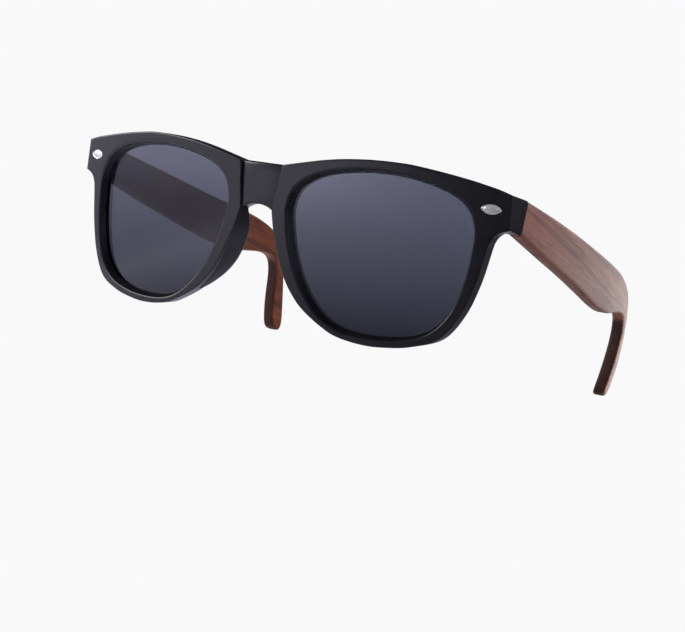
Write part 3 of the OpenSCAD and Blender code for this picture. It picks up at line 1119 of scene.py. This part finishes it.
    def build(self) -> Piece:
        """The whole front as one moulding.

        Returns:
            The front, dressed and riding on its body.
        """
        piece = self.rim()
        for part in (self.pad(), self.wrap()):
            combine(piece, part, "UNION")
        for room in [self.brow_trim()] + self.hinge_room():
            combine(piece, room, "DIFFERENCE")
        other = mirrored(piece, "other_half")
        for part in (self.bridge(), other):
            combine(piece, part, "UNION")
        close(piece)
        piece.name = piece.data.name = "front"
        dress(piece, self.finish.material(), self.crease)
        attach(piece, "front")
        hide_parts("front_frame")
        return piece


@dataclass
class Lens:
    """A tinted lens, curved with the front."""

    layout: Layout
    material: Material
    grow: float = -0.2
    ease: float = 0.12
    mean_r: float = 25.0
    crease: float = 30

    def build(self) -> list[Piece]:
        """Both lenses.

        Returns:
            The left and the right lens.
        """
        lay = self.layout
        cx, cv = lay.fp(0.5, 0.5)
        shape = lay.opening(self.grow, 8)

        def ring(share: float, depth: float) -> Ring:
            """A ring at a share of the outline."""
            return [lay.on_front(cx + x * share, cv + v * share, depth) for x, v in shape]

        shares, eased = (0.0, 0.2, 0.4, 0.6, 0.8, 0.95), 1 - self.ease / self.mean_r
        face, back = lay.lens_in, lay.lens_in + lay.lens_t
        rings = [ring(s, face) for s in (*shares, eased)]
        rings += [ring(1, face + self.ease), ring(1, back - self.ease)]
        rings += [ring(s, back) for s in (eased, *reversed(shares))]
        made = both(loft("lens_glass_left", rings))
        for piece, side in made:
            dress(piece, self.material, self.crease)
            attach(piece, "front")
            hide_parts("lens_" + side.word)
        return [piece for piece, _ in made]


@dataclass
class Rivet:
    """A silver almond-shaped rivet: a thin rim, a shallow groove and a domed middle, on its shank."""

    layout: Layout
    material: Material
    long: float = 5.7
    high: float = 2.8
    tip: float = 0.35
    sink: float = 0.3
    shank: float = 0.75
    shank_edge: float = 0.1
    shank_out: float = 1.1
    steps: int = 64
    crease: float = 40

    def almond(self, share: float, depth: float) -> Ring:
        """The head's outline at a share of its size, at a depth.

        Args:
            share: Share of the full outline.
            depth: Depth behind the front face.

        Returns:
            Its places in order.
        """
        r, reach, high = self.tip, self.long / 2 - self.tip, self.high
        big = (reach ** 2 + high ** 2 / 4 - r ** 2) / (high - 2 * r)
        a = math.degrees(math.atan2(big - high / 2, reach))
        half = arc((reach, 0.0), r, -a, a, self.steps // 8)[:-1]
        half += arc((0.0, high / 2 - big), big, a, 180 - a, self.steps * 3 // 8)[:-1]
        whole = half + [(-x, -z) for x, z in half]
        return [put(self.layout.at_rivet, x * share, depth, z * share) for x, z in whole]

    def round(self, radius: float, depth: float) -> Ring:
        """A round ring of the shank."""
        return [put(self.layout.at_rivet, radius * math.cos(a), depth, radius * math.sin(a))
                for a in circle(self.steps, 0.5)]

    def build(self) -> list[Piece]:
        """Both rivets.

        Returns:
            The left and the right rivet.
        """
        end, wide, edge = self.layout.rim_t + self.shank_out, self.shank, self.shank_edge
        rings = [self.round(radius, depth) for radius, depth in (
            (0.0, end), (wide - edge, end), (wide, end - edge), (wide, self.sink))]
        rings += [self.almond(share, depth) for share, depth in (
            (1.0, self.sink), (1.0, -0.12), (0.985, -0.19), (0.955, -0.235), (0.92, -0.25), (0.88, -0.235),
            (0.85, -0.2), (0.82, -0.19), (0.79, -0.22), (0.74, -0.31), (0.66, -0.42), (0.55, -0.505),
            (0.42, -0.565), (0.28, -0.6), (0.13, -0.615), (0.0, -0.615))]
        made = both(loft("rivet_head_left", rings))
        for piece, side in made:
            dress(piece, self.material, self.crease)
            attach(piece, "front")
            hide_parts("rivet_" + side.word)
        return [piece for piece, _ in made]


@dataclass
class Temple:
    """A walnut temple: a bowed board with rounded edges, an ear bend and a tip that curves inward.

    Each of the pairs holds an index on the upper edge and the index that faces it on the lower one.
    """

    layout: Layout
    high: float = 17.2
    tip_drop: float = 42.4
    bow_r: float = 647.0
    tip_r: float = 140.0
    bend_z: float = -16.0
    joint_gap: float = 0.25
    joint_edge: float = 0.15
    edge: float = 1.0
    pocket_deep: float = 1.23
    pocket_y: Pair = (-2.0, 15.03)
    pocket_z: Pair = (-2.63, 2.63)
    crease: float = 40
    pairs: tuple[Pair, ...] = (
        (0, 0), (0.667, 1), (1.333, 2), (2, 3), (2.54, 4), (2.92, 5), (3.27, 6), (3.727, 7), (4.5, 8),
        (5.58, 9), (6.76, 10), (8.1, 10.65), (9, 11.1), (10, 11.8), (11, 13), (12, 14), (13, 15), (14, 16),
        (15, 17), (16, 18), (17, 19))

    def low(self, k: float) -> float:
        """Height of the lower edge at a share of the board's growth."""
        return -self.layout.end_h - k * (self.high - self.layout.end_h)

    def leg(self, k: float) -> float:
        """Height on the ear's leg at a share of its length."""
        return -self.high - k * (self.tip_drop - self.high)

    def edges(self) -> tuple[list[Pair], list[Pair]]:
        """The board's edges from the joint to the tip, seen from the side.

        Returns:
            The upper and the lower edge.
        """
        low, leg = self.low, self.leg
        top = [(0, 0), (30, -0.2), (60, -0.8), (84, -1.2), (95, -1.6), (102, -2.25), (108, -3.3), (113, -4.8),
               (117.2, -7.1), (120.4, -10.6), (122.8, -15.2), (124.5, leg(0.14)), (125.8, leg(0.36)),
               (126.7, leg(0.6)), (127, leg(0.79)), (126.4, leg(0.92)), (125.1, leg(0.983)), (123.6, leg(1))]
        under = [(0, low(0)), (20, low(0.31)), (40, low(0.56)), (60, low(0.81)), (73, low(0.96)),
                 (82, low(1)), (87, low(0.985)), (92, low(0.92)), (98.5, low(0.76)), (105.5, low(0.605)),
                 (111.8, low(0.56)), (116, low(0.74)), (118.3, leg(0.05)), (119.3, leg(0.22)),
                 (119.6, leg(0.45)), (119.9, leg(0.68)), (120.3, leg(0.86)), (120.9, leg(0.94)),
                 (122, leg(0.985)), (123.6, leg(1))]
        return top, under

    def on_board(self, y: float, h: float, depth: float) -> Vector:
        """A point of the bowed board, in metres.

        Args:
            y: Distance behind the joint.
            h: Height from the upper edge's start.
            depth: Depth behind the outer face.

        Returns:
            The point on the standing object.
        """
        lay = self.layout
        fall = min(0.0, h - self.bend_z)
        radius = self.bow_r - self.tip_r + math.sqrt((self.tip_r - depth) ** 2 - fall * fall)
        x = lay.axis_in - self.bow_r + math.sqrt(radius ** 2 - (y - self.joint_gap) ** 2)
        return put(lay.at_temple, x, y - lay.axis_back, lay.end_h / 2 + h)

    def section(self, above: Pair, below: Pair, shrink: float) -> Ring:
        """A rounded section between the two edges.

        Args:
            above: Place on the upper edge.
            below: Place on the lower edge.
            shrink: How far both faces draw in, at the ends.

        Returns:
            Its places in order.
        """
        long = max(1e-6, math.dist(above, below))
        r = min(max(0.05, self.edge - shrink), long * 0.49)
        outer, inner = shrink, self.layout.temple_t - shrink
        face = [r + (long - 2 * r) * s for s in (0.03, 0.2, 0.4, 0.6, 0.8, 0.97)]
        walk = arc((r, outer + r), r, 180, 270, 4) + [(run, outer) for run in face]
        walk += arc((long - r, outer + r), r, 270, 360, 4) + arc((long - r, inner - r), r, 0, 90, 4)
        walk += [(run, inner) for run in reversed(face)] + arc((r, inner - r), r, 90, 180, 4)
        return [self.on_board(*between(above, below, run / long), depth) for run, depth in walk]

    def board(self) -> Piece:
        """The left board with the hinge housing's pocket cut in.

        Returns:
            The board.
        """
        lay, gap, soft, edge = self.layout, self.joint_gap, self.joint_edge, self.edge
        top, under = self.edges()
        tip = top[-1]
        bend, last = 8, len(self.pairs) - 2
        rings: list[Ring] = []
        for k, (start, end) in enumerate(zip(self.pairs, self.pairs[1:])):
            steps = 6 if bend <= k < last else 8
            for i in range(steps):
                at_top, at_under = between(start, end, i / steps)
                above, below = curve_at(top, at_top), curve_at(under, at_under)
                if not rings:
                    # the joint's face, a little smaller than the section behind it
                    rings.append(self.section((gap, above[1] - soft), (gap, below[1] + soft), soft))
                    above, below = (gap + soft, above[1]), (gap + soft, below[1])
                near = min(edge, math.dist(between(above, below, 0.5), tip))
                rings.append(self.section(above, below, edge - math.sqrt(edge ** 2 - (edge - near) ** 2)))
        rings.append(self.section(tip, tip, edge))
        piece = loft("temple_board_left", rings)
        floor = lay.axis_in - lay.temple_t + self.pocket_deep
        pocket = box("housing_pocket", lay.at_temple, (-1.0, floor), self.pocket_y, self.pocket_z)
        combine(piece, pocket, "DIFFERENCE")
        return piece

    def build(self) -> list[Piece]:
        """Both temples.

        Returns:
            The left and the right temple.
        """
        made = both(self.board())
        for piece, side in made:
            dress(piece, Walnut("walnut_" + side.word, side).material(), self.crease)
            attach(piece, side.word + "_temple")
            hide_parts("temple_" + side.word)
        return [piece for piece, _ in made]


@dataclass
class Coil:
    """The hinge springs: wire coils between the housing's wall and the stop on the shaft."""

    layout: Layout
    material: Material
    shaft_x: float = 0.8
    start: float = 4.81
    long: float = 6.58
    radius: float = 1.05
    wire: float = 0.16
    turns: int = 6
    turn_steps: int = 16
    wire_steps: int = 10
    crease: float = 60

    def ring(self, turned: float) -> Ring:
        """The wire's section on the left coil.

        Args:
            turned: Turns from the coil's front end.

        Returns:
            The section's places, in metres.
        """
        a = math.tau * turned
        lead = math.atan2(self.long, math.tau * self.radius * self.turns)
        out = Vector((math.cos(a), 0, math.sin(a)))
        along = Vector((math.sin(a) * math.sin(lead), math.cos(lead), -math.cos(a) * math.sin(lead)))
        middle = Vector((self.shaft_x, self.start + self.long * turned / self.turns, 0)) + self.radius * out
        return [put(self.layout.at_temple, *(middle + self.wire * (math.cos(b) * out + math.sin(b) * along)))
                for b in circle(self.wire_steps)]

    def build(self) -> list[Piece]:
        """Both springs, their places baked into their meshes.

        Returns:
            The left and the right spring.
        """
        steps = self.turn_steps
        rings = [self.ring(i / steps) for i in range(steps * self.turns + 1)]
        made = both(loft("hinge_coil_left", rings))
        ends = [put(self.layout.at_temple, self.shaft_x, y, 0) for y in (self.start, self.start + self.long)]
        for piece, side in made:
            dress(piece, self.material, self.crease)
            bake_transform(piece)
            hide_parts("hinge_spring_" + side.word)
        return [piece for piece, _ in made]


@dataclass
class Hinges:
    """The other parts of the sprung hinges: their CAD solids, dressed in worked steel."""

    steel: Metal
    bright: Metal

    def build(self) -> list[Piece]:
        """Dresses the hinge nodes.

        Returns:
            The dressed nodes.
        """
        groups = ((self.steel, ("hinge_leaf_", "hinge_carriage_", "hinge_housing_", "spring_stop_")),
                  (self.bright, ("hinge_screw_", "housing_screws_")))
        done: list[Piece] = []
        for finish, names in groups:
            material = finish.material()
            for node in (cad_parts[name + side.word] for name in names for side in Side):
                dress(node, material)
                done.append(node)
        return done


@dataclass
class Studio:
    """Pale floor, graded card, white surroundings, soft lamps and the camera."""

    place: Triple = (0.20327, -0.39868, -0.00178)
    turn: Triple = (91.418, -11.512, 27.387)
    lens: float = 70.396
    shift: Pair = (0.01241, -0.00438)
    floor_half: float = 1.2
    floor_z: float = -0.0002
    floor_fade: Pair = (0.22, 0.6)
    card_middle: Triple = (0.15, -0.36, 0.0004)
    card_half: Pair = (0.75, 0.66)
    card_run: Pair = (-0.17, 0.12)
    card_stops: tuple[float, ...] = (0.0, 0.12, 0.25, 0.42, 0.6, 0.82, 1.0)
    card_tones: Tones = (
        (0.58, 0.56, 0.7, 1), (0.68, 0.66, 0.82, 1), (1, 0.97, 1.2, 1), (0.76, 0.74, 0.92, 1),
        (0.44, 0.42, 0.53, 1), (0.15, 0.145, 0.18, 1), (0.06, 0.06, 0.08, 1))
    card_off: Pair = (-0.2, -0.29)
    card_glow: Pair = (1.0, 1.7)
    aim_z: float = 0.02

    def camera(self) -> None:
        """The camera at the photograph's angle."""
        clear()
        bpy.ops.object.camera_add(location=self.place, rotation=tuple(math.radians(a) for a in self.turn))
        camera = bpy.context.object
        camera.name = "studio_camera"
        camera.data.sensor_fit = "HORIZONTAL"
        camera.data.sensor_width = 36.0
        camera.data.lens = self.lens
        camera.data.shift_x, camera.data.shift_y = self.shift
        camera.data.clip_start = 0.01
        bpy.context.scene.camera = camera

    def floor(self) -> None:
        """A pale floor that is seen from above only, and fades into the white surroundings."""
        clear()
        bpy.ops.mesh.primitive_plane_add(size=2 * self.floor_half, location=(0, 0, self.floor_z))
        floor = bpy.context.object
        floor.name = "studio_floor"
        n = Nodes.material("studio_pale_floor")
        far = n.add("VectorMath", n.add("TexCoord").outputs["Object"], operation="LENGTH").outputs["Value"]
        hidden = n.add("Math", n.add("NewGeometry").outputs["Backfacing"], n.remap(far, self.floor_fade),
                       operation="MAXIMUM")
        matt = n.add("BsdfDiffuse", Color=shade(236, 236, 239))
        floor.data.materials.append(n.finish(n.add("MixShader", hidden, matt, n.add("BsdfTransparent"))))

    def card(self) -> None:
        """A card on the floor that only reflections meet: pale left, dark right, brighter further off."""
        clear()
        bpy.ops.mesh.primitive_grid_add(x_subdivisions=4, y_subdivisions=2, size=2, location=(0, 0, 0))
        card = bpy.context.object
        card.name = "studio_graded_card"
        (x, y, z), (wide, deep) = self.card_middle, self.card_half
        for vert in card.data.vertices:
            vert.co = (x + wide * vert.co.x, y + deep * vert.co.y, z)
        n = Nodes.material("studio_card_grey")
        axes = n.add("SeparateXYZ", n.add("TexCoord").outputs["Object"]).outputs
        glow = n.add("Emission", n.ramp(n.remap(axes["X"], self.card_run), self.card_stops, self.card_tones),
                     Strength=n.remap(axes["Y"], self.card_off, self.card_glow))
        card.data.materials.append(n.finish(glow))
        for eye in ("camera", "diffuse", "shadow", "transmission", "volume_scatter"):
            setattr(card, "visible_" + eye, False)

    def surroundings(self) -> None:
        """White where it is seen, softer where it lights, darker before, behind and above in reflections."""
        world = bpy.data.worlds.new("studio_world")
        bpy.context.scene.world = world
        n = Nodes(world)
        path = n.add("LightPath").outputs
        way = n.add("TexCoord").outputs["Generated"]

        def toward(*aim: float) -> Socket:
            """How far the view turns towards a direction."""
            return n.add("VectorMath", way, aim, operation="DOT_PRODUCT").outputs["Value"]

        before = n.remap(toward(0.5, -0.866, 0.0), (0.0, 0.85), (0.95, 0.12))
        behind = n.remap(toward(0.45, 0.89, 0.0), (0.5, 0.95), (0.95, 0.1))
        above = n.remap(n.add("SeparateXYZ", way).outputs["Z"], (0.25, 0.8), (0.95, 0.16))
        round_it = n.add("Math", before, behind, operation="MINIMUM")
        least = n.add("Math", round_it, above, operation="MINIMUM")
        gloss = n.add("Background", shade(236, 233, 255), least)
        soft = n.add("Background", shade(250, 250, 252), 0.42)
        white = n.add("Background", shade(249, 249, 250), 1.0)
        lit = n.add("MixShader", path["Is Glossy Ray"], soft, gloss)
        seen = n.add("Math", path["Is Camera Ray"], path["Is Transmission Ray"], operation="MAXIMUM")
        n.finish(n.add("MixShader", seen, lit, white), "OutputWorld")

    def lamp(self, name: str, azimuth: float, elevation: float, far: float, size: Pair, watts: float,
             reflected: bool = False) -> None:
        """A soft box that looks at the object.

        Args:
            name: The lamp's name.
            azimuth: Degrees from the front, positive to +X.
            elevation: Degrees above the floor.
            far: Distance in metres.
            size: Width and height in metres.
            watts: Its power.
            reflected: Whether glossy surfaces show it.
        """
        a, e = math.radians(azimuth), math.radians(elevation)
        place = Vector((math.sin(a) * math.cos(e), -math.cos(a) * math.cos(e), math.sin(e))) * far
        clear()
        bpy.ops.object.light_add(type="AREA", location=place + Vector((0, 0, self.aim_z)))
        lamp = bpy.context.object
        lamp.name = name
        lamp.rotation_euler = (-place).to_track_quat("-Z", "Y").to_euler()
        lamp.data.shape = "RECTANGLE"
        lamp.data.size, lamp.data.size_y = size
        lamp.data.energy = watts
        lamp.visible_glossy = reflected

    def build(self) -> None:
        """Sets up the studio."""
        self.camera()
        self.floor()
        self.card()
        self.surroundings()
        self.lamp("soft_box_left", azimuth=-62, elevation=28, far=0.9, size=(0.7, 0.6), watts=7.0,
                  reflected=True)
        self.lamp("soft_box_top", azimuth=20, elevation=78, far=0.9, size=(0.8, 0.8), watts=6.0)
        self.lamp("soft_box_right", azimuth=110, elevation=30, far=1.0, size=(0.6, 0.6), watts=4.0)
        bpy.context.scene.view_settings.view_transform = "Standard"


def main() -> None:
    """Builds the sunglasses piece by piece, and the studio round them."""
    logging.basicConfig(level=logging.INFO, format="%(message)s")
    rivet = Metal("rivet_silver", Grain.POLISHED, (shade(214, 213, 212), shade(240, 239, 238)),
                  rough=(0.14, 0.24), metal=0.72)
    spring = Metal("spring_drawn_steel", Grain.POLISHED, (shade(160, 160, 165), shade(205, 205, 210)),
                   rough=(0.2, 0.34))
    steel = Metal("hinge_brushed_steel", Grain.BRUSHED, (shade(150, 150, 154), shade(196, 196, 200)),
                  rough=(0.26, 0.42))
    bright = Metal("screw_turned_steel", Grain.TURNED, (shade(168, 168, 172), shade(214, 214, 218)),
                   rough=(0.18, 0.32))
    layout = Layout()
    made = [Front(layout, BlackPlastic()).build()]
    made += Lens(layout, TintedLens().material()).build()
    made += Rivet(layout, rivet.material()).build()
    made += Temple(layout).build()
    made += Coil(layout, spring.material()).build()
    made += Hinges(steel, bright).build()
    for piece in made:
        LOG.info("%s: %d faces", piece.name, len(piece.data.polygons))
    Studio().build()
    clear()
    bpy.context.view_layer.update()


if __name__ == "__main__":
    main()
